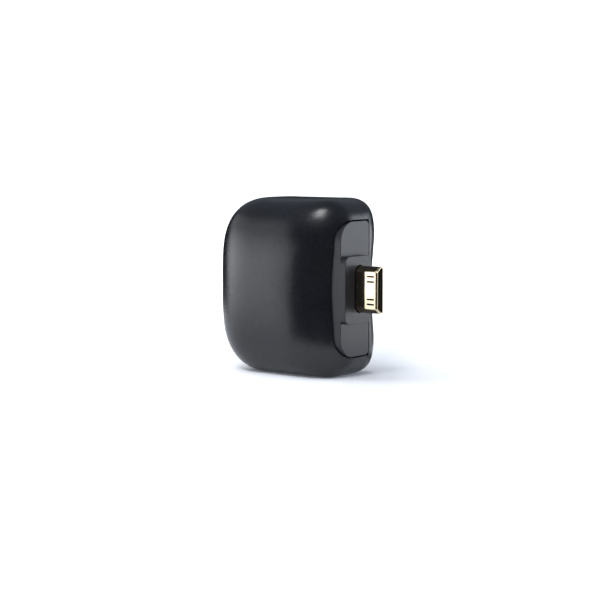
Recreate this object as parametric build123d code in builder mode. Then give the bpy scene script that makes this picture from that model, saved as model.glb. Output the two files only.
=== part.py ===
"""Plug-in wireless module: a soft pillow-shaped housing with a small gold-plated plug on its side.

Frame: the origin is the centre of the flat facet the housing stands on, +Z up,
+X toward the plug, -Y the softly rounded front face, +Y the rear cover. Millimetres.
"""
import math
import os

from build123d import *

os.makedirs("parts", exist_ok=True)

# ---- housing ----
width = 34.2
height = 40.4
front_depth = 10.95
rear_depth = 10.5
wall = 1.6
base_trim = 0.12
left_corner = 11.5
right_corner = 6.0
front_left_run = 10.25
front_left_drop = 6.2
front_right_run = 12.9
front_right_drop = 9.05
rear_left_round = 6.0
rear_right_round = 5.3
front_power = 3.9
rear_power = 6.4
waist_front = 1.17
waist_rear = 1.28
waist_start = 0.665
waist_reach = 14.0
parting_y = 4.65
seam_gap = 0.10
seam_depth = 0.25
lip_length = 1.6
lip_clearance = 0.05

# ---- connector plate and collar ----
plate_gap = 0.3
plate_rear_gap = 0.02
plate_front_y = -6.3
plate_half = 15.5
plate_front_round = 4.8
plate_rear_round = 1.2
recess_rear_round = 0.25
plate_drop = 0.02
plate_block = 5.1
plate_thickness = 2.5
plate_rim = 1.4
edge_round = 0.12
collar_height = 1.42
collar_half_y = 4.95
collar_half_z = 7.55
collar_round = 1.7
neck_half_y = 2.15
neck_half_z = 6.0

# ---- plug ----
plug_y = -1.3
plug_z = 20.25
plug_wide = 10.42
plug_narrow = 8.4
plug_thick = 2.42
plug_chamfer = 1.3
plug_reach = 5.9
plug_sheet = 0.25
plug_corner = 0.35
aperture_gap = 0.2
contact_count = 19
contact_pitch = 0.4
contact_width = 0.22
contact_thick = 0.12
slot_wide = 8.7
slot_thick = 1.0
core_setback = 0.5
contact_setback = 0.6
lead_in = 0.5
lead_in_drop = 0.16
slit_length = 1.95
slit_height = 0.42
slit_setback = 0.85
slit_spots = (-3.1, -2.0, 1.9, 3.05)
seam_width = 0.09
seam_cut = 0.06
key_length = 1.1
key_height = 0.3
key_setback = 1.9
dimple_radius = 0.9
dimple_depth = 0.06
dimple_setback = 5.1
dimple_lift = 0.62

# ---- boards ----
board_thick = 1.0
interface_thick = 0.8
boss_radius = 1.6
screw_radius = 0.7
screw_length = 4.0
screw_head_radius = 1.35
screw_head_height = 0.8
screw_clearance = 0.05
fit = 0.02

# ---- plug bracket and radio module ----
bracket_sheet = 0.4
bracket_half_y = 2.9
bracket_half_z = 9.6
bracket_screw_z = 8.1
leg_z = 5.7
leg_half_y = 1.0
radio_long = 12.5
radio_tall = 10.0
radio_thick = 0.8
can_height = 1.6
can_sheet = 0.2

# ---- button ----
button_radius = 2.5
button_clearance = 0.08
button_proud = 0.35
button_travel = 0.25
flange_thick = 0.6
switch_side = 3.2
switch_height = 1.2
plunger_radius = 0.8
plunger_proud = 0.45

# ---- derived positions ----
mid_z = height / 2 - base_trim
half_width = width / 2
plate_face_x = half_width - plate_drop
plate_back_x = plate_face_x - plate_block
inner_half_z = height / 2 - wall
collar_face_x = plate_face_x + collar_height
plug_tip_x = collar_face_x + plug_reach
plate_rear_y = parting_y
board_front_y = plug_y - board_thick / 2
board_rear_y = plug_y + board_thick / 2
board_left_x = -half_width + wall + 2.4
board_right_x = plate_back_x - 2.8
board_half_z = inner_half_z - 3.0
boss_left_x = board_left_x + 3.6
boss_left_z = board_half_z - 4.6
boss_right_x = board_right_x - 2.4
boss_right_z = board_half_z - 2.2
board_spots = [
    (boss_left_x, mid_z + boss_left_z),
    (boss_left_x, mid_z - boss_left_z),
    (boss_right_x, mid_z + boss_right_z),
    (boss_right_x, mid_z - boss_right_z),
]
cover_inner_y = rear_depth - wall
interface_rear_y = cover_inner_y - 3.5
interface_front_y = interface_rear_y - interface_thick
interface_left_x = board_left_x + 1.0
interface_right_x = board_right_x - 1.6
interface_half_z = board_half_z - 6.2
post_z = interface_half_z - 2.0
post_left_x = interface_left_x + 2.0
post_right_x = interface_right_x - 2.0
post_spots = [
    (post_left_x, mid_z + post_z),
    (post_left_x, mid_z - post_z),
    (post_right_x, mid_z + post_z),
]
button_x = -1.5
button_z = mid_z - 3.2
led_x = -1.5
led_z = mid_z + 5.2
bracket_face_x = plate_face_x - plate_thickness
shell_back_x = board_right_x + 1.2
slot_back_x = plug_tip_x - 7.0
contact_y = board_rear_y + contact_thick / 2
contact_back_x = board_right_x - 1.0
contact_tip_x = plug_tip_x - contact_setback
contact_numbers = range(-(contact_count // 2), contact_count // 2 + 1)
radio_x = -4.2
radio_z = mid_z + 3.6
can_x0 = radio_x - radio_long / 2 + 2.8
can_x1 = radio_x + radio_long / 2 - 0.4
can_z0 = radio_z - radio_tall / 2 + 0.5
can_z1 = radio_z + radio_tall / 2 - 0.5
chips_x = 3.6
header_x0 = 2.6
header_x1 = header_x0 + 2.6
header_z0 = mid_z - 7.2
header_z1 = header_z0 + 6.4
header_split_y = board_rear_y + 2.2
header_spots = [
    (header_x0 + 0.665 + 1.27 * column, header_z0 + 0.66 + 1.27 * row)
    for column in range(2)
    for row in range(5)
]


def rounding(x, half, left_run, left_drop, right_run, right_drop):
    """How far an outline falls away at x, elliptical toward both ends of +-half."""
    left = min(max(-half + left_run - x, 0.0), left_run) / left_run
    right = min(max(x - half + right_run, 0.0), right_run) / right_run
    fall = left_drop * (1.0 - math.sqrt(1.0 - left * left))
    return fall + right_drop * (1.0 - math.sqrt(1.0 - right * right))


def housing_section(x, inset, count):
    """Closed outline of the housing across x: soft front, squarer rear, waisted toward the plug."""
    half = half_width - inset
    tall = height / 2 - inset - rounding(
        x, half, left_corner - inset, left_corner - inset, right_corner - inset, right_corner - inset
    )
    front = front_depth - inset - rounding(
        x,
        half,
        front_left_run - inset,
        front_left_drop - inset,
        front_right_run - inset,
        front_right_drop - inset,
    )
    rear = rear_depth - inset - rounding(
        x,
        half,
        rear_left_round - inset,
        rear_left_round - inset,
        rear_right_round - inset,
        rear_right_round - inset,
    )
    along = min(max((x - waist_start) / (half_width - waist_start), 0.0), 1.0)
    waist = along * along * (3.0 - 2.0 * along)
    points = []
    for index in range(count):
        turn = 2.0 * math.pi * index / count
        turn = turn + 0.12 * math.sin(4.0 * turn)
        cosine = math.cos(turn)
        sine = math.sin(turn)
        power = front_power if cosine < 0.0 else rear_power
        reach = (abs(cosine) ** power + abs(sine) ** power) ** (-1.0 / power)
        depth = front if cosine < 0.0 else rear
        y = depth * reach * cosine
        z = tall * reach * sine
        pinch = waist_front if cosine < 0.0 else waist_rear
        middle = max(1.0 - (z / waist_reach) ** 2, 0.0) ** 2
        y -= math.copysign(pinch * waist * middle * abs(reach * cosine), y)
        points.append(Vector(x, y, mid_z + z))
    return Wire([Edge.make_spline(points, periodic=True)])


def housing_volume(inset, steps, count):
    """The housing's pillow shape, every surface moved inward by the inset."""
    half = half_width - inset
    stations = [-half * math.cos(math.pi * index / steps) for index in range(steps + 1)]
    return Solid.make_loft([housing_section(x, inset, count) for x in stations])


def block(x0, x1, y0, y1, z0, z1, mode=Mode.ADD):
    """Box between two corners."""
    with Locations(((x0 + x1) / 2, (y0 + y1) / 2, (z0 + z1) / 2)):
        Box(x1 - x0, y1 - y0, z1 - z0, mode=mode)


def bar_y(radius, y0, y1, spots, mode=Mode.ADD):
    """Round bar along Y between y0 and y1 at each (x, z) spot."""
    with Locations(*[(x, (y0 + y1) / 2, z) for x, z in spots]):
        Cylinder(radius, y1 - y0, rotation=(90, 0, 0), mode=mode)


def bar_x(radius, x0, x1, spots, mode=Mode.ADD):
    """Round bar along X between x0 and x1 at each (y, z) spot."""
    with Locations(*[((x0 + x1) / 2, y, z) for y, z in spots]):
        Cylinder(radius, x1 - x0, rotation=(0, 90, 0), mode=mode)


def plate_outline(x, inset, rear_inset, rear_round):
    """Outline of the connector plate's recess at x, drawn in by the insets."""
    y0 = plate_front_y + inset
    y1 = plate_rear_y - rear_inset
    with BuildSketch(Plane.YZ.offset(x)) as outline:
        with Locations(((y0 + y1) / 2, mid_z)):
            Rectangle(y1 - y0, 2 * (plate_half - inset))
        corners = outline.vertices().group_by(Axis.X)
        fillet(corners[0], plate_front_round - inset)
        fillet(outline.vertices().group_by(Axis.X)[-1], rear_round)
    return outline.sketch


def parting_outline(y, inset):
    """Outline of the housing where shell and cover meet, at y, drawn in by the inset."""
    with BuildSketch(Plane.XZ.offset(-y)) as outline:
        with Locations((0.0, mid_z)):
            Rectangle(width - 2 * inset, height - 2 * inset)
        fillet(outline.vertices().group_by(Axis.X)[-1], right_corner - inset)
        fillet(outline.vertices().group_by(Axis.X)[0], left_corner - inset)
    return outline.sketch


def plug_outline(x, grow, corner):
    """D-shaped outline of the plug at x, grown outward, with rounded corners."""
    y0 = plug_y - plug_thick / 2
    y1 = plug_y + plug_thick / 2
    narrow = plug_narrow / 2
    wide = plug_wide / 2
    with BuildSketch(Plane.YZ.offset(x)) as outline:
        Polygon(
            (y0, plug_z - narrow),
            (y0 + plug_chamfer, plug_z - wide),
            (y1, plug_z - wide),
            (y1, plug_z + wide),
            (y0 + plug_chamfer, plug_z + wide),
            (y0, plug_z + narrow),
            align=None,
        )
        if grow != 0.0:
            offset(amount=grow, kind=Kind.INTERSECTION)
        fillet(outline.vertices(), corner)
    return outline.sketch


def chip(x, z, size_x, size_z, thick, side):
    """Flat component on the main board, side -1 the front face, +1 the rear face."""
    y0 = board_front_y - thick if side < 0 else board_rear_y
    block(x - size_x / 2, x + size_x / 2, y0, y0 + thick, z - size_z / 2, z + size_z / 2)


def save(piece, name):
    """Label a finished piece and write it out."""
    piece.part.label = name
    export_step(piece.part, "parts/" + name + ".step")


outer = housing_volume(0.0, 16, 44)
cavity = housing_volume(wall, 10, 28)

big = 4.0 * max(width, height)

# ---- front shell: bosses for the main board, rebate for the cover's lip, plate recess ----
with BuildPart() as front_hollow:
    add(cavity)
    bar_y(boss_radius, -front_depth - 2.0, board_front_y, board_spots, Mode.SUBTRACT)

with BuildPart() as front_shell:
    add(outer)
    add(front_hollow.part, mode=Mode.SUBTRACT)
    block(-big, big, parting_y, big, -big, big, Mode.SUBTRACT)
    block(-big, big, -big, big, -big, 0.0, Mode.SUBTRACT)
    extrude(
        parting_outline(parting_y, wall / 2),
        amount=lip_length + lip_clearance,
        mode=Mode.SUBTRACT,
    )
    extrude(
        plate_outline(plate_back_x - 0.8, 0.0, 0.0, recess_rear_round),
        amount=big,
        mode=Mode.SUBTRACT,
    )
    bar_y(
        screw_radius + screw_clearance,
        board_front_y - screw_length - 0.5,
        board_front_y + 1.0,
        board_spots,
        Mode.SUBTRACT,
    )
save(front_shell, "front_shell")

# ---- rear cover: lip, posts for the interface board, holes for button and light pipe ----
with BuildPart() as rear_hollow:
    add(cavity)
    bar_y(1.5, interface_rear_y, rear_depth + 2.0, post_spots, Mode.SUBTRACT)

with BuildPart() as cover_lip:
    extrude(parting_outline(parting_y, wall / 2 + lip_clearance), amount=lip_length)
    extrude(parting_outline(parting_y + 1.0, wall), amount=lip_length + 2.0, mode=Mode.SUBTRACT)
    block(
        plate_back_x - 1.2,
        big,
        -big,
        big,
        mid_z - plate_half - 1.6,
        mid_z + plate_half + 1.6,
        Mode.SUBTRACT,
    )

with BuildPart() as rear_cover:
    add(outer)
    block(-big, big, -big, parting_y + seam_gap, -big, big, Mode.SUBTRACT)
    extrude(parting_outline(parting_y + seam_gap, seam_depth), amount=seam_gap)
    block(-big, big, -big, big, -big, 0.0, Mode.SUBTRACT)
    add(rear_hollow.part, mode=Mode.SUBTRACT)
    add(cover_lip.part)
    bar_y(screw_radius + screw_clearance, interface_rear_y - 1.0, interface_rear_y + 3.2,
          post_spots, Mode.SUBTRACT)
    bar_y(button_radius + button_clearance, 0.0, big, [(button_x, button_z)], Mode.SUBTRACT)
    bar_y(0.85, 0.0, big, [(led_x, led_z)], Mode.SUBTRACT)
save(rear_cover, "rear_cover")

# ---- connector plate: proud block in the recess, pocket behind, two lugs inside the shell ----
with BuildPart() as connector_plate:
    extrude(
        plate_outline(plate_back_x, plate_gap, plate_rear_gap, plate_rear_round),
        amount=plate_block,
    )
    fillet(connector_plate.faces().sort_by(Axis.X)[-1].outer_wire().edges(), edge_round)
    extrude(
        plate_outline(plate_back_x, plate_gap + plate_rim, plate_rear_gap + plate_rim, 0.4),
        amount=plate_block - plate_thickness,
        mode=Mode.SUBTRACT,
    )
    with Locations(
        (plate_back_x + 2.4, 0.2, mid_z + plate_half),
        (plate_back_x + 2.4, 0.2, mid_z - plate_half),
    ):
        Box(1.0, 3.6, 1.0)
    block(
        plate_back_x,
        plate_face_x + 1.0,
        plug_y - neck_half_y,
        plug_y + neck_half_y,
        plug_z - neck_half_z,
        plug_z + neck_half_z,
        Mode.SUBTRACT,
    )
    bar_x(
        screw_radius + screw_clearance,
        plate_back_x,
        plate_face_x - 0.6,
        [(plug_y, plug_z - bracket_screw_z), (plug_y, plug_z + bracket_screw_z)],
        Mode.SUBTRACT,
    )
save(connector_plate, "connector_plate")

# ---- collar: pad on the plate's face with a neck through it ----
with BuildPart() as plug_collar:
    with BuildSketch(Plane.YZ.offset(plate_face_x)):
        with Locations((plug_y, mid_z)):
            RectangleRounded(2 * collar_half_y, 2 * collar_half_z, collar_round)
    extrude(amount=collar_height)
    fillet(plug_collar.faces().sort_by(Axis.X)[-1].edges(), edge_round)
    block(
        bracket_face_x,
        plate_face_x,
        plug_y - neck_half_y + fit,
        plug_y + neck_half_y - fit,
        plug_z - neck_half_z + fit,
        plug_z + neck_half_z - fit,
    )
    extrude(
        plug_outline(plate_back_x, aperture_gap, plug_corner + aperture_gap),
        amount=big,
        mode=Mode.SUBTRACT,
    )
save(plug_collar, "plug_collar")

# ---- bracket: steel plate behind the connector plate, two legs back into the main board ----
with BuildPart() as plug_bracket:
    block(
        bracket_face_x - bracket_sheet,
        bracket_face_x,
        plug_y - bracket_half_y,
        plug_y + bracket_half_y,
        plug_z - bracket_half_z,
        plug_z + bracket_half_z,
    )
    for side in (-1, 1):
        inner = plug_z + side * leg_z
        block(
            board_right_x - 2.6,
            bracket_face_x - bracket_sheet,
            plug_y - leg_half_y,
            plug_y + leg_half_y,
            inner - bracket_sheet / 2,
            inner + bracket_sheet / 2,
        )
    extrude(
        plug_outline(plate_back_x - 4.0, fit, plug_corner + fit), amount=big, mode=Mode.SUBTRACT
    )
    bar_x(
        screw_radius + 0.1,
        plate_back_x,
        plate_face_x,
        [(plug_y, plug_z - bracket_screw_z), (plug_y, plug_z + bracket_screw_z)],
        Mode.SUBTRACT,
    )
save(plug_bracket, "plug_bracket")

with BuildPart() as bracket_screws:
    spots = [(plug_y, plug_z - bracket_screw_z), (plug_y, plug_z + bracket_screw_z)]
    back = bracket_face_x - bracket_sheet
    bar_x(screw_radius, back, plate_face_x - 0.9, spots)
    bar_x(screw_head_radius, back - screw_head_height, back, spots)
    for y, z in spots:
        block(back - screw_head_height, back - 0.4, y - 0.8, y + 0.8, z - 0.15, z + 0.15,
              Mode.SUBTRACT)
        block(back - screw_head_height, back - 0.4, y - 0.15, y + 0.15, z - 0.8, z + 0.8,
              Mode.SUBTRACT)
save(bracket_screws, "bracket_screws")

# ---- plug shell: folded sheet tube with four short slits and a pressed lead-in ----
with BuildPart() as plug_shell:
    extrude(
        plug_outline(shell_back_x, 0.0, plug_corner),
        amount=plug_tip_x - lead_in - shell_back_x,
    )
    loft(
        [
            plug_outline(plug_tip_x - lead_in, 0.0, plug_corner),
            plug_outline(plug_tip_x, -lead_in_drop, plug_corner - lead_in_drop / 2),
        ],
        ruled=True,
    )
    extrude(
        plug_outline(shell_back_x, -plug_sheet, plug_corner - plug_sheet + 0.05),
        amount=big,
        mode=Mode.SUBTRACT,
    )
    with Locations(
        *[
            (plug_tip_x - slit_setback - slit_length / 2, plug_y - plug_thick / 2, plug_z + spot)
            for spot in slit_spots
        ]
    ):
        Box(slit_length, 1.0, slit_height, mode=Mode.SUBTRACT)
    with BuildSketch(Plane.XZ.offset(plug_thick / 2 - plug_y)) as seam:
        with BuildLine():
            key_end = plug_tip_x - key_setback
            key_start = key_end - key_length
            Polyline(
                (shell_back_x - 1.0, plug_z),
                (key_start + 0.08, plug_z),
                (key_start, plug_z + key_height),
                (key_end, plug_z + key_height),
                (key_end - 0.08, plug_z),
                (plug_tip_x + 1.0, plug_z),
            )
        trace(line_width=seam_width)
    extrude(amount=-seam_cut, mode=Mode.SUBTRACT)
    with Locations(
        (
            plug_tip_x - dimple_setback,
            plug_y - plug_thick / 2 - dimple_radius + dimple_depth,
            plug_z + dimple_lift,
        )
    ):
        Sphere(dimple_radius, mode=Mode.SUBTRACT)
save(plug_shell, "plug_shell")

# ---- insulator: fills the shell, slotted at the mouth, a channel for each contact ----
with BuildPart() as plug_insulator:
    extrude(
        plug_outline(board_right_x + 0.3, -plug_sheet - 0.03, 0.08),
        amount=plug_tip_x - core_setback - board_right_x - 0.3,
    )
    block(
        slot_back_x,
        big,
        plug_y - slot_thick / 2,
        plug_y + slot_thick / 2,
        plug_z - slot_wide / 2,
        plug_z + slot_wide / 2,
        Mode.SUBTRACT,
    )
    with Locations(
        *[
            ((board_right_x + plug_tip_x) / 2, contact_y, plug_z + contact_pitch * number)
            for number in contact_numbers
        ]
    ):
        Box(
            plug_tip_x - board_right_x,
            contact_thick + 2 * fit,
            contact_width + 2 * fit,
            mode=Mode.SUBTRACT,
        )
save(plug_insulator, "plug_insulator")

with BuildPart() as plug_contacts:
    with Locations(
        *[
            ((contact_back_x + contact_tip_x) / 2, contact_y, plug_z + contact_pitch * number)
            for number in contact_numbers
        ]
    ):
        Box(contact_tip_x - contact_back_x, contact_thick, contact_width)
save(plug_contacts, "plug_contacts")

# ---- main board: outline follows the housing, slots for the bracket's legs ----
with BuildPart() as main_board:
    with BuildSketch(Plane.XZ.offset(-board_rear_y)):
        with Locations(((board_left_x + board_right_x) / 2, mid_z)):
            Rectangle(board_right_x - board_left_x, 2 * board_half_z)
    extrude(amount=board_thick)
    fillet(main_board.edges().filter_by(Axis.Y).group_by(Axis.X)[0], 7.0)
    fillet(main_board.edges().filter_by(Axis.Y).group_by(Axis.X)[-1], 1.5)
    bar_y(screw_radius + 0.15, board_front_y - 1.0, board_rear_y + 1.0, board_spots, Mode.SUBTRACT)
    for side in (-1, 1):
        middle = plug_z + side * leg_z
        block(
            board_right_x - 2.8,
            board_right_x + 1.0,
            board_front_y - 1.0,
            board_rear_y + 1.0,
            middle - bracket_sheet / 2 - 0.05,
            middle + bracket_sheet / 2 + 0.05,
            Mode.SUBTRACT,
        )
    bar_y(0.3, board_front_y - 1.0, board_rear_y + 1.0, header_spots, Mode.SUBTRACT)
save(main_board, "main_board")

with BuildPart() as board_screws:
    bar_y(screw_radius, board_rear_y - screw_length, board_rear_y, board_spots)
    bar_y(screw_head_radius, board_rear_y, board_rear_y + screw_head_height, board_spots)
    for x, z in board_spots:
        block(x - 0.8, x + 0.8, board_rear_y + 0.4, board_rear_y + 1.0, z - 0.15, z + 0.15,
              Mode.SUBTRACT)
        block(x - 0.15, x + 0.15, board_rear_y + 0.4, board_rear_y + 1.0, z - 0.8, z + 0.8,
              Mode.SUBTRACT)
save(board_screws, "board_screws")

# ---- radio module: carrier, shield can and chip antenna on the board's front face ----
with BuildPart() as radio_board:
    chip(radio_x, radio_z, radio_long, radio_tall, radio_thick, -1)
save(radio_board, "radio_board")

with BuildPart() as shield_can:
    can_front = board_front_y - radio_thick - can_height
    can_back = board_front_y - radio_thick
    block(can_x0, can_x1, can_front, can_back, can_z0, can_z1)
    fillet(shield_can.edges().filter_by(Axis.Y), 0.5)
    block(
        can_x0 + can_sheet,
        can_x1 - can_sheet,
        can_front + can_sheet,
        can_back,
        can_z0 + can_sheet,
        can_z1 - can_sheet,
        Mode.SUBTRACT,
    )
save(shield_can, "shield_can")

with BuildPart() as radio_chip:
    front = board_front_y - radio_thick
    middle_x = (can_x0 + can_x1) / 2
    middle_z = (can_z0 + can_z1) / 2
    block(middle_x - 2.5, middle_x + 2.5, front - 0.85, front, middle_z - 2.5, middle_z + 2.5)
save(radio_chip, "radio_chip")

with BuildPart() as chip_antenna:
    front = board_front_y - radio_thick
    left = radio_x - radio_long / 2 + 0.5
    block(left, left + 1.6, front - 0.6, front, radio_z - 3.2, radio_z + 3.2)
    chamfer(chip_antenna.edges().filter_by(Axis.Y), 0.15)
save(chip_antenna, "chip_antenna")

# ---- components soldered straight to the main board ----
with BuildPart() as processor_chip:
    chip(chips_x, mid_z - 5.0, 5.0, 5.0, 0.85, -1)
    chamfer(processor_chip.edges().filter_by(Axis.Y).sort_by(Axis.X)[:1], 0.5)
save(processor_chip, "processor_chip")

with BuildPart() as memory_chip:
    chip(chips_x - 6.2, mid_z - 7.6, 4.0, 3.0, 0.75, -1)
save(memory_chip, "memory_chip")

with BuildPart() as crystal:
    chip(chips_x - 5.6, mid_z - 3.6, 2.5, 2.0, 0.6, -1)
    chamfer(crystal.edges().filter_by(Axis.Y), 0.2)
save(crystal, "crystal")

with BuildPart() as voltage_regulator:
    chip(-6.0, mid_z - 4.5, 3.0, 1.6, 1.1, 1)
    for shift in (-0.95, 0.0, 0.95):
        y0 = board_rear_y
        block(-6.2 + shift, -5.8 + shift, y0, y0 + 0.2, mid_z - 5.9, mid_z - 5.3)
        block(-6.2 + shift, -5.8 + shift, y0, y0 + 0.2, mid_z - 3.7, mid_z - 3.1)
save(voltage_regulator, "voltage_regulator")

with BuildPart() as power_inductor:
    chip(-6.0, mid_z + 0.6, 4.0, 4.0, 2.0, 1)
    chamfer(power_inductor.edges().filter_by(Axis.Y), 0.6)
save(power_inductor, "power_inductor")

with BuildPart() as capacitors:
    for x, z in ((-1.6, -4.6), (-1.6, -2.6), (-1.6, 0.4), (-1.6, 2.4), (-6.0, 4.6), (-3.4, 5.6)):
        chip(x, mid_z + z, 1.6, 0.8, 0.8, 1)
    for x, z in ((0.2, 0.4), (1.8, 0.4), (-1.8, -9.0)):
        chip(chips_x + x, mid_z + z, 1.0, 0.5, 0.5, -1)
save(capacitors, "capacitors")

with BuildPart() as resistors:
    for x, z in ((0.2, -4.6), (0.2, -2.6), (0.2, 0.4), (0.2, 2.4)):
        chip(x + 0.4, mid_z + z, 1.0, 0.5, 0.35, 1)
    for x, z in ((-0.95, 0.4), (1.4, -9.0), (-0.2, -9.0)):
        chip(chips_x + x, mid_z + z, 1.0, 0.5, 0.35, -1)
save(resistors, "resistors")

# ---- board-to-board header ----
with BuildPart() as header_base:
    block(header_x0, header_x1, board_rear_y, header_split_y, header_z0, header_z1)
    bar_y(0.2 + fit, board_rear_y - 1.0, header_split_y + 1.0, header_spots, Mode.SUBTRACT)
save(header_base, "header_base")

with BuildPart() as header_socket:
    block(header_x0, header_x1, header_split_y, interface_front_y, header_z0, header_z1)
    bar_y(0.2 + fit, header_split_y - 1.0, interface_front_y - 0.4, header_spots, Mode.SUBTRACT)
save(header_socket, "header_socket")

with BuildPart() as header_pins:
    bar_y(0.2, board_front_y + 0.1, interface_front_y - 0.8, header_spots)
save(header_pins, "header_pins")

# ---- interface board behind the rear cover ----
with BuildPart() as interface_board:
    block(
        interface_left_x,
        interface_right_x,
        interface_front_y,
        interface_rear_y,
        mid_z - interface_half_z,
        mid_z + interface_half_z,
    )
    fillet(interface_board.edges().filter_by(Axis.Y), 1.5)
    bar_y(screw_radius + 0.15, interface_front_y - 1, interface_rear_y + 1, post_spots,
          Mode.SUBTRACT)
save(interface_board, "interface_board")

with BuildPart() as interface_screws:
    front = interface_front_y
    bar_y(screw_radius, front, front + 3.4, post_spots)
    bar_y(screw_head_radius, front - screw_head_height, front, post_spots)
    for x, z in post_spots:
        block(x - 0.8, x + 0.8, front - 1.0, front - 0.4, z - 0.15, z + 0.15, Mode.SUBTRACT)
        block(x - 0.15, x + 0.15, front - 1.0, front - 0.4, z - 0.8, z + 0.8, Mode.SUBTRACT)
save(interface_screws, "interface_screws")

# ---- push switch, its plunger and the button in the cover ----
switch_top_y = interface_rear_y + switch_height
with BuildPart() as switch_body:
    block(
        button_x - switch_side / 2,
        button_x + switch_side / 2,
        interface_rear_y,
        switch_top_y,
        button_z - switch_side / 2,
        button_z + switch_side / 2,
    )
    chamfer(switch_body.edges().filter_by(Axis.Y), 0.3)
    bar_y(plunger_radius + 0.06, interface_rear_y + 0.3, switch_top_y + 1.0,
          [(button_x, button_z)], Mode.SUBTRACT)
save(switch_body, "switch_body")

with BuildPart() as switch_dome:
    bar_y(plunger_radius - 0.1, interface_rear_y + 0.3, interface_rear_y + 0.38,
          [(button_x, button_z)])
save(switch_dome, "switch_dome")

plunger_top_y = switch_top_y + plunger_proud
with BuildPart() as switch_plunger:
    bar_y(plunger_radius, interface_rear_y + 0.38 + button_travel + 0.05, plunger_top_y,
          [(button_x, button_z)])
save(switch_plunger, "switch_plunger")

with BuildPart() as pairing_button:
    bar_y(button_radius, cover_inner_y - 0.7, rear_depth + button_proud, [(button_x, button_z)])
    fillet(pairing_button.faces().sort_by(Axis.Y)[-1].edges(), 0.3)
    bar_y(button_radius + 0.8, cover_inner_y - 0.1 - flange_thick, cover_inner_y - 0.1,
          [(button_x, button_z)])
    bar_y(1.2, plunger_top_y + fit, cover_inner_y - 0.5, [(button_x, button_z)])
save(pairing_button, "pairing_button")

# ---- status light and its pipe through the cover ----
with BuildPart() as status_led:
    block(led_x - 0.8, led_x + 0.8, interface_rear_y, interface_rear_y + 0.6,
          led_z - 0.4, led_z + 0.4)
save(status_led, "status_led")

with BuildPart() as light_pipe:
    bar_y(0.82, interface_rear_y + 0.8, rear_depth + 0.03, [(led_x, led_z)])
    fillet(light_pipe.faces().sort_by(Axis.Y)[-1].edges(), 0.1)
    bar_y(1.4, cover_inner_y - 1.0, cover_inner_y - 0.05, [(led_x, led_z)])
save(light_pipe, "light_pipe")
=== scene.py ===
"""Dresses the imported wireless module: a finish for every node, then floor, lights and camera."""
import math

import bpy
import numpy as np
from mathutils import Matrix, Vector

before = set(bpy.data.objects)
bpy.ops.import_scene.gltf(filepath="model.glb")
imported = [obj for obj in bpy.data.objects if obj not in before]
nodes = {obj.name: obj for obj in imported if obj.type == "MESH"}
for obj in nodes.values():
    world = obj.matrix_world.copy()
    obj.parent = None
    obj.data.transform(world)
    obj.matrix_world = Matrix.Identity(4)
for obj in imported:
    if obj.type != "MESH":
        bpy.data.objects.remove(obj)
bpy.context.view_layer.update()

bl_info = {
    "name": "Plug-in Module Dressing",
    "version": (1, 0, 0),
    "blender": (4, 5, 0),
    "location": "View3D > Sidebar > Module",
    "description": "Finishes, floor, lights and camera for a small plug-in module",
    "category": "Object",
}


FLAG_REACH = 2.8
FLAG_LIFT = 0.0002
FLAG_STEPS = 33
BODY_CENTRE = Vector((0.0, 0.0, 0.02))


# ---------------------------------------------------------------- shader expressions
class Wire:
    """A socket that can be used in a Python expression; each operation adds its Math node."""

    def __init__(self, tree, socket):
        self.tree = tree
        self.socket = socket

    def _math(self, operation, *values):
        return self.tree.node("ShaderNodeMath", {"operation": operation}, values)["Value"]

    def __add__(self, other):
        return self._math("ADD", self, other)

    def __radd__(self, other):
        return self._math("ADD", other, self)

    def __sub__(self, other):
        return self._math("SUBTRACT", self, other)

    def __mul__(self, other):
        return self._math("MULTIPLY", self, other)


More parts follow.
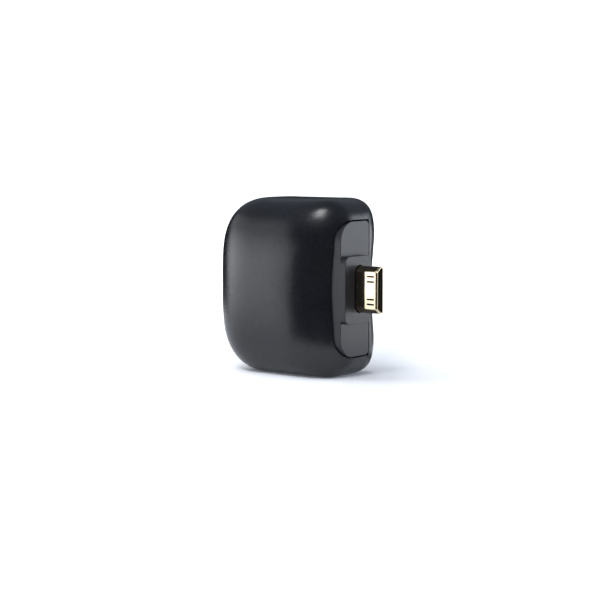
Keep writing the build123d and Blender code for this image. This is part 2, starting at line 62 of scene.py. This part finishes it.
class Finish:
    """A material under construction: one Principled shader and the nodes that feed it."""

    def __init__(self, name, **constants):
        self.material = bpy.data.materials.new(name)
        self.material.use_nodes = True
        self.nodes = self.material.node_tree.nodes
        self.links = self.material.node_tree.links
        self.shader = self.nodes["Principled BSDF"]
        for key, value in constants.items():
            self.shader.inputs[key.replace("_", " ")].default_value = value

    def node(self, kind, settings=None, values=()):
        """Adds one node: settings first, then the values or links of its sockets by place or name."""
        made = self.nodes.new(kind)
        for key, value in (settings or {}).items():
            setattr(made, key, value)
        pairs = values.items() if isinstance(values, dict) else enumerate(values)
        for key, value in pairs:
            if isinstance(value, Wire):
                self.links.new(value.socket, made.inputs[key])
            else:
                made.inputs[key].default_value = value
        return {output.name: Wire(self, output) for output in made.outputs}

    def feed(self, **wires):
        """Links wires to the shader's own sockets."""
        for key, wire in wires.items():
            self.links.new(wire.socket, self.shader.inputs[key.replace("_", " ")])
        return self

    def place(self):
        """Object coordinates, in metres."""
        return self.node("ShaderNodeTexCoord")["Object"]

    def scaled(self, factors):
        """Object coordinates stretched along each axis."""
        return self.node("ShaderNodeMapping", {}, {"Vector": self.place(), "Scale": factors})["Vector"]

    def noise(self, scale, detail=3.0, roughness=0.5, vector=None):
        """Fractal noise between 0 and 1."""
        where = vector if vector is not None else self.place()
        made = self.node(
            "ShaderNodeTexNoise",
            {},
            {"Vector": where, "Scale": scale, "Detail": detail, "Roughness": roughness},
        )
        return made.get("Fac") or made.get("Factor")

    def cells(self, scale):
        """Distance to the nearest of a scatter of points."""
        return self.node("ShaderNodeTexVoronoi", {}, {"Vector": self.place(), "Scale": scale})["Distance"]

    def blend(self, factor, first, second):
        """Colour mix, first where the factor is 0."""
        made = self.nodes.new("ShaderNodeMix")
        made.data_type = "RGBA"
        for key, value in (("Factor", factor), ("A", first), ("B", second)):
            target = [i for i in made.inputs if i.name == key and i.enabled][0]
            if isinstance(value, Wire):
                self.links.new(value.socket, target)
            else:
                target.default_value = value if key == "Factor" else (*value, 1.0)
        result = [o for o in made.outputs if o.enabled][0]
        return Wire(self, result)

    def bump(self, height, distance, strength=1.0):
        """Surface normal from a height in 0..1 worth `distance` metres."""
        made = self.node(
            "ShaderNodeBump", {}, {"Strength": strength, "Distance": distance, "Height": height}
        )
        return made["Normal"]


def moulded(name, dark, light, rough, grain_scale, grain_depth, spread=0.05, specular=0.5):
    """Moulded plastic: a fine spark-eroded grain, faint flow mottling and uneven sheen."""
    finish = Finish(name, Specular_IOR_Level=specular)
    fine = finish.noise(grain_scale, 4.0, 0.65)
    broad = finish.noise(140.0, 3.0, 0.5)
    sheen = rough + (broad - 0.5) * spread + (fine - 0.5) * spread
    finish.feed(
        Base_Color=finish.blend(broad, dark, light),
        Roughness=sheen,
        Normal=finish.bump(fine, grain_depth),
    )
    return finish.material


def gold_plated(name):
    """Bright gold over drawn sheet: faint lengthwise drawing lines and soft waviness."""
    finish = Finish(name, Metallic=1.0)
    lines = finish.noise(1500.0, 3.0, 0.6, finish.scaled((0.08, 1.0, 1.0)))
    waves = finish.noise(260.0, 2.0, 0.5)
    finish.feed(
        Base_Color=finish.blend(waves, (0.68, 0.575, 0.375), (0.72, 0.61, 0.41)),
        Roughness=0.05 + lines * 0.08,
        Normal=finish.bump(waves + lines * 0.12, 0.000015),
    )
    return finish.material


def sheet_steel(name, colour, rough):
    """Rolled or plated steel: fine streaks across and light blotches."""
    finish = Finish(name, Metallic=1.0)
    streaks = finish.noise(900.0, 3.0, 0.6, finish.scaled((1.0, 0.1, 1.0)))
    blotch = finish.noise(220.0, 3.0, 0.5)
    pale = tuple(min(c * 1.15, 1.0) for c in colour)
    finish.feed(
        Base_Color=finish.blend(blotch, colour, pale),
        Roughness=rough + (streaks - 0.5) * 0.2,
        Normal=finish.bump(streaks, 0.00002),
    )
    return finish.material


def solder_mask(name):
    """Green lacquer over glass cloth: the weave shows as a faint grid of darker cells."""
    finish = Finish(name, Coat_Weight=0.4)
    weave_x = finish.node("ShaderNodeTexWave", {"bands_direction": "X"},
                          {"Vector": finish.place(), "Scale": 420.0})
    weave_z = finish.node("ShaderNodeTexWave", {"bands_direction": "Z"},
                          {"Vector": finish.place(), "Scale": 420.0})
    cloth = (weave_x.get("Fac") or weave_x.get("Factor")) * (weave_z.get("Fac") or weave_z.get("Factor"))
    finish.feed(
        Base_Color=finish.blend(cloth, (0.010, 0.075, 0.040), (0.020, 0.130, 0.070)),
        Roughness=0.32 + cloth * 0.1,
        Normal=finish.bump(cloth, 0.00002),
    )
    return finish.material


def fired_ceramic(name, colour):
    """Fired ceramic body: matte with pale speckles."""
    finish = Finish(name)
    specks = finish.cells(3200.0)
    pale = tuple(min(c * 1.35, 1.0) for c in colour)
    finish.feed(
        Base_Color=finish.blend(specks, colour, pale),
        Roughness=0.55 + specks * 0.2,
        Normal=finish.bump(specks, 0.00002),
    )
    return finish.material


def clear_plastic(name, colour):
    """Frosted light pipe: milky, slightly uneven."""
    finish = Finish(name, IOR=1.49)
    cloud = finish.noise(700.0, 2.0, 0.5)
    pale = tuple(min(c * 1.2, 1.0) for c in colour)
    finish.feed(
        Base_Color=finish.blend(cloud, colour, pale),
        Roughness=0.22 + cloud * 0.12,
        Normal=finish.bump(cloud, 0.00002),
    )
    return finish.material


def dress(names, material):
    """Gives CAD nodes a finish."""
    for name in names:
        data = nodes[name].data
        data.materials.clear()
        data.materials.append(material)


# ---------------------------------------------------------------- sizes a user would change
class ModuleLook(bpy.types.PropertyGroup):
    """Colours and sheen of the module's outside."""

    housing_colour: bpy.props.FloatVectorProperty(
        name="Housing colour",
        description="Base colour of the moulded housing",
        subtype="COLOR",
        size=3,
        default=(0.0042, 0.0048, 0.0074),
        min=0.0,
        max=1.0,
    )
    housing_sheen: bpy.props.FloatProperty(
        name="Housing roughness",
        description="Roughness of the satin housing",
        default=0.27,
        min=0.0,
        max=1.0,
        subtype="FACTOR",
    )
    plate_colour: bpy.props.FloatVectorProperty(
        name="Plate colour",
        description="Base colour of the connector plate and collar",
        subtype="COLOR",
        size=3,
        default=(0.013, 0.0142, 0.0180),
        min=0.0,
        max=1.0,
    )


class StageLook(bpy.types.PropertyGroup):
    """Floor and lights."""

    floor_radius: bpy.props.FloatProperty(
        name="Floor radius",
        description="Radius of the round floor",
        default=3.0,
        min=0.1,
        subtype="DISTANCE",
        unit="LENGTH",
    )
    card_distance: bpy.props.FloatProperty(
        name="Card distance",
        description="How far the light cards stand from the module",
        default=0.17,
        min=0.05,
        subtype="DISTANCE",
        unit="LENGTH",
    )
    side_glow: bpy.props.FloatProperty(
        name="Side glow",
        description="Radiance of the long card on the left",
        default=2.7,
        min=0.0,
    )
    back_glow: bpy.props.FloatProperty(
        name="Back glow",
        description="Radiance of the card behind on the right",
        default=2.9,
        min=0.0,
    )
    lamp_glow: bpy.props.FloatProperty(
        name="Lamp glow",
        description="Radiance of the small lamp above the front",
        default=13.0,
        min=0.0,
    )
    key_light: bpy.props.FloatProperty(
        name="Key light",
        description="Radiance of the big overhead light that only gives soft fill and shadow",
        default=3.2,
        min=0.0,
    )


# ---------------------------------------------------------------- operators
class MODULE_OT_housing(bpy.types.Operator):
    """Satin black plastic on the front shell and rear cover"""

    bl_idname = "module.housing"
    bl_label = "Finish the housing"

    def execute(self, context):
        look = context.scene.module_look
        dark = tuple(look.housing_colour)
        light = tuple(c * 1.35 for c in dark)
        satin = moulded("satin_black_plastic", dark, light, look.housing_sheen, 9000.0, 0.000012)
        dress(["front_shell", "rear_cover"], satin)
        return {"FINISHED"}


class MODULE_OT_connector(bpy.types.Operator):
    """Grey grained plastic on the plate and collar, gold on the plug"""

    bl_idname = "module.connector"
    bl_label = "Finish the connector end"

    def execute(self, context):
        look = context.scene.module_look
        dark = tuple(look.plate_colour)
        light = tuple(c * 1.3 for c in dark)
        matte = moulded("grained_grey_plastic", dark, light, 0.36, 7000.0, 0.00003,
                         specular=0.42)
        dress(["connector_plate", "plug_collar"], matte)
        dress(["plug_shell"], gold_plated("gold_plated_shell"))
        dress(["plug_contacts", "header_pins"], gold_plated("gold_plated_contacts"))
        dress(["plug_insulator"], moulded("black_insulator", (0.006, 0.006, 0.007),
                                          (0.010, 0.010, 0.011), 0.55, 6000.0, 0.00001))
        dress(["plug_bracket", "switch_dome"], sheet_steel("rolled_steel", (0.55, 0.55, 0.56), 0.35))
        return {"FINISHED"}


class MODULE_OT_controls(bpy.types.Operator):
    """Button, light pipe and switch"""

    bl_idname = "module.controls"
    bl_label = "Finish the controls"

    def execute(self, context):
        dress(["pairing_button"], moulded("button_plastic", (0.014, 0.015, 0.018),
                                          (0.020, 0.021, 0.025), 0.33, 8000.0, 0.00001))
        frosted = clear_plastic("frosted_light_pipe", (0.62, 0.66, 0.70))
        dress(["light_pipe", "status_led"], frosted)
        dress(["switch_body", "header_base", "header_socket"],
              moulded("header_plastic", (0.014, 0.014, 0.015), (0.022, 0.022, 0.024),
                      0.45, 6000.0, 0.00001))
        dress(["switch_plunger"], moulded("plunger_plastic", (0.20, 0.20, 0.20), (0.26, 0.26, 0.26),
                                          0.4, 6000.0, 0.00001))
        return {"FINISHED"}


class MODULE_OT_electronics(bpy.types.Operator):
    """Boards, chips and small parts inside the housing"""

    bl_idname = "module.electronics"
    bl_label = "Finish the electronics"

    def execute(self, context):
        dress(["main_board", "interface_board", "radio_board"], solder_mask("green_solder_mask"))
        dress(["processor_chip", "memory_chip", "radio_chip", "voltage_regulator", "resistors"],
              moulded("chip_package", (0.010, 0.010, 0.011), (0.016, 0.016, 0.017), 0.5, 5000.0, 0.00001))
        dress(["shield_can", "crystal"], sheet_steel("tinned_steel", (0.66, 0.65, 0.63), 0.3))
        dress(["board_screws", "interface_screws", "bracket_screws"],
              sheet_steel("plated_screw_steel", (0.45, 0.46, 0.48), 0.3))
        dress(["chip_antenna"], fired_ceramic("antenna_ceramic", (0.60, 0.62, 0.58)))
        dress(["capacitors"], fired_ceramic("capacitor_ceramic", (0.34, 0.23, 0.13)))
        dress(["power_inductor"], fired_ceramic("pressed_ferrite", (0.040, 0.040, 0.043)))
        return {"FINISHED"}


def aim(thing, place, target, up=Vector((0, 0, 1))):
    """Places a light or camera and turns its -Z toward the target."""
    thing.location = place
    thing.rotation_mode = "QUATERNION"
    thing.rotation_quaternion = (Vector(target) - Vector(place)).to_track_quat("-Z", "Y")


def card(name, bearing, lift, distance, wide, tall, glow, colour=(1, 1, 1)):
    """A light card facing the module.

    bearing is the angle round from -Y toward +X and lift the angle above the module's middle,
    both in degrees; wide and tall are metres, glow is radiance, so power is pi * area * glow.
    """
    turn, rise = math.radians(bearing), math.radians(lift)
    way = Vector((math.sin(turn) * math.cos(rise), -math.cos(turn) * math.cos(rise),
                  math.sin(rise)))
    data = bpy.data.lights.new(name, "AREA")
    data.shape = "RECTANGLE"
    data.size = wide
    data.size_y = tall
    data.energy = math.pi * wide * tall * glow
    data.color = colour
    light = bpy.data.objects.new(name, data)
    bpy.context.scene.collection.objects.link(light)
    aim(light, BODY_CENTRE + way * distance, BODY_CENTRE)
    return light


def reflection_paint_sheet(name, first, last, near, far, glow):
    """A sheet on the floor that only reflections see, painted shade in the module's reflections where its
    glow is low and painted light where it is high: a sector between two bearings, in degrees.
    """
    bearings = np.radians(np.linspace(first, last, FLAG_STEPS))
    inner = np.stack([near * np.sin(bearings), -near * np.cos(bearings)], 1)
    outer = inner[::-1] * (far / near)
    ring = np.concatenate([inner, outer])
    ring = np.concatenate([ring, np.full((len(ring), 1), FLAG_LIFT)], 1)
    last_point = len(ring) - 1
    quads = [[i, i + 1, last_point - 1 - i, last_point - i] for i in range(len(bearings) - 1)]
    data = bpy.data.meshes.new(name)
    data.from_pydata(ring.tolist(), [], quads)
    flag = bpy.data.objects.new(name, data)
    bpy.context.scene.collection.objects.link(flag)
    # The sheet's near-black colour is painted shade and its emission is painted light, both seen only in
    # reflections.
    cloth = Finish(name + "_cloth", Specular_IOR_Level=0.0, Emission_Strength=glow)
    cloth.shader.inputs["Emission Color"].default_value = (0.95, 0.97, 1.0, 1.0)
    sheet_mottle = cloth.noise(40.0, 2.0, 0.5)
    cloth.feed(Base_Color=cloth.blend(sheet_mottle, (0.002, 0.002, 0.002), (0.004, 0.004, 0.004)))
    data.materials.append(cloth.material)
    flag.visible_camera = False
    flag.visible_diffuse = False
    flag.visible_shadow = False


class MODULE_OT_stage(bpy.types.Operator):
    """White floor, soft lights and the camera"""

    bl_idname = "module.stage"
    bl_label = "Set the stage"

    def execute(self, context):
        look = context.scene.module_stage
        radius = look.floor_radius
        turns = np.linspace(0.0, 2.0 * math.pi, 97)[:-1]
        rim = np.stack([radius * np.cos(turns), radius * np.sin(turns), np.zeros(len(turns))], 1)
        data = bpy.data.meshes.new("floor")
        data.from_pydata(rim.tolist(), [], [list(range(len(turns)))])
        floor = bpy.data.objects.new("floor", data)
        context.scene.collection.objects.link(floor)
        # The floor's emission is painted light: it glows white beyond 26 cm from the module and fades to
        # a faint bluish glow within 5 cm, painted shade round the module, so the real shadow still shows.
        paper = Finish("white_paper_painted_glow", Specular_IOR_Level=0.0, Emission_Strength=1.0)
        tint = paper.noise(3.0, 2.0, 0.5)
        away = paper.node("ShaderNodeVectorMath", {"operation": "LENGTH"}, {"Vector": paper.place()})
        glow = paper.node("ShaderNodeMapRange", {}, {"Value": away["Value"], "From Min": 0.05,
                                                     "From Max": 0.26})["Result"]
        paper.feed(Base_Color=paper.blend(tint, (0.84, 0.86, 0.90), (0.86, 0.88, 0.91)),
                   Roughness=0.6 + tint * 0.1,
                   Emission_Color=paper.blend(glow, (0.10, 0.105, 0.12), (1.0, 1.0, 1.0)))
        data.materials.append(paper.material)

        # Sheets seen only in reflections. The black and dim ones paint shade into the module's
        # reflections: the floor in front, on the left, the floor shadow on the right, behind, and a close
        # ring of contact shade behind on the right. right_far_flag glows as a painted bright reflection
        # on the right.
        reflection_paint_sheet("front_flag", -13.0, 80.0, 0.047, FLAG_REACH, 0.08)
        reflection_paint_sheet("left_flag", -175.0, -75.0, 0.13, FLAG_REACH, 0.0)
        reflection_paint_sheet("right_near_flag", 80.0, 122.0, 0.03, 0.06, 0.15)
        reflection_paint_sheet("right_far_flag", 80.0, 158.0, 0.06, FLAG_REACH, look.back_glow * 0.75)
        reflection_paint_sheet("behind_flag", 158.0, 185.0, 0.05, FLAG_REACH, 0.2)
        reflection_paint_sheet("corner_flag", 128.0, 185.0, 0.014, 0.030, 0.2)

        world = bpy.data.worlds.new("studio")
        world.use_nodes = True
        context.scene.world = world
        tree = world.node_tree
        tree.nodes.clear()
        out = tree.nodes.new("ShaderNodeOutputWorld")
        seen = tree.nodes.new("ShaderNodeBackground")
        seen.inputs["Color"].default_value = (1, 1, 1, 1)
        seen.inputs["Strength"].default_value = 1.1
        around = tree.nodes.new("ShaderNodeBackground")
        around.inputs["Strength"].default_value = 1.0
        where = tree.nodes.new("ShaderNodeTexCoord")
        split = tree.nodes.new("ShaderNodeSeparateXYZ")
        ramp = tree.nodes.new("ShaderNodeValToRGB")
        ramp.color_ramp.elements[0].position = 0.57
        ramp.color_ramp.elements[0].color = (0.004, 0.004, 0.005, 1)
        ramp.color_ramp.elements[1].position = 0.74
        ramp.color_ramp.elements[1].color = (0.26, 0.29, 0.33, 1)
        half = tree.nodes.new("ShaderNodeMath")
        half.operation = "MULTIPLY_ADD"
        half.inputs[1].default_value = 0.5
        half.inputs[2].default_value = 0.5
        pick = tree.nodes.new("ShaderNodeLightPath")
        mix = tree.nodes.new("ShaderNodeMixShader")
        tree.links.new(where.outputs["Generated"], split.inputs[0])
        tree.links.new(split.outputs["Z"], half.inputs[0])
        tree.links.new(half.outputs[0], ramp.inputs["Fac"])
        tree.links.new(ramp.outputs["Color"], around.inputs["Color"])
        tree.links.new(pick.outputs["Is Camera Ray"], mix.inputs["Fac"])
        tree.links.new(around.outputs[0], mix.inputs[1])
        tree.links.new(seen.outputs[0], mix.inputs[2])
        tree.links.new(mix.outputs[0], out.inputs["Surface"])

        far = look.card_distance
        low = card("left_card_low", -60.0, 3.2, far, 0.122, 0.0490, look.side_glow, (0.95, 0.97, 1.0))
        low_end = card("left_card_end", -32.0, 2.5, far, 0.048, 0.0535, look.side_glow * 0.33)
        high = card("left_card_high", -60.0, 20.0, far, 0.190, 0.050, look.side_glow * 0.36)
        for light in (low, low_end, high):
            light.visible_diffuse = False
        card("back_card", 142.0, 9.0, 0.30, 0.20, 0.16, look.back_glow, (0.88, 0.94, 1.05))
        card("front_lamp", 21.0, 46.0, 0.34, 0.118, 0.118, look.lamp_glow)
        fill = card("overhead_fill", -70.0, 62.0, 0.60, 0.60, 0.60, look.key_light)
        fill.visible_glossy = False

        turn = math.radians(38.0)
        tilt = math.radians(5.83)
        forward = Vector((-math.sin(turn) * math.cos(tilt), math.cos(turn) * math.cos(tilt),
                          -math.sin(tilt)))
        right = Vector((math.cos(turn), math.sin(turn), 0.0))
        up = right.cross(forward)
        away = 0.34162
        lens = 88.666
        target = Vector((-0.001335, 0.0, 0.020))
        slide_right = -0.001828588
        slide_up = -0.003520783
        data = bpy.data.cameras.new("camera")
        data.sensor_width = 36.0
        data.lens = lens
        data.clip_start = 0.01
        data.clip_end = 50.0
        camera = bpy.data.objects.new("camera", data)
        context.scene.collection.objects.link(camera)
        place = target - forward * away - right * slide_right + up * slide_up
        camera.matrix_world = Matrix((
            (right.x, up.x, -forward.x, place.x),
            (right.y, up.y, -forward.y, place.y),
            (right.z, up.z, -forward.z, place.z),
            (0.0, 0.0, 0.0, 1.0),
        ))
        context.scene.camera = camera
        context.scene.view_settings.view_transform = "Standard"
        context.scene.view_settings.look = "None"
        return {"FINISHED"}


class MODULE_PT_panel(bpy.types.Panel):
    """Lists the finishing steps"""

    bl_idname = "MODULE_PT_panel"
    bl_label = "Plug-in module"
    bl_space_type = "VIEW_3D"
    bl_region_type = "UI"
    bl_category = "Module"

    def draw(self, context):
        for group in (context.scene.module_look, context.scene.module_stage):
            for name in group.__annotations__:
                self.layout.prop(group, name)
        for step in steps:
            self.layout.operator(step.bl_idname)


steps = (
    MODULE_OT_housing,
    MODULE_OT_connector,
    MODULE_OT_controls,
    MODULE_OT_electronics,
    MODULE_OT_stage,
)
classes = (ModuleLook, StageLook, *steps, MODULE_PT_panel)


def register():
    """Adds the classes and their settings."""
    for cls in classes:
        bpy.utils.register_class(cls)
    bpy.types.Scene.module_look = bpy.props.PointerProperty(type=ModuleLook)
    bpy.types.Scene.module_stage = bpy.props.PointerProperty(type=StageLook)


def unregister():
    """Removes them again."""
    del bpy.types.Scene.module_stage
    del bpy.types.Scene.module_look
    for cls in reversed(classes):
        bpy.utils.unregister_class(cls)


def main():
    """Runs every step in order."""
    register()
    bpy.ops.module.housing()
    bpy.ops.module.connector()
    bpy.ops.module.controls()
    bpy.ops.module.electronics()
    bpy.ops.module.stage()


if __name__ == "__main__":
    main()
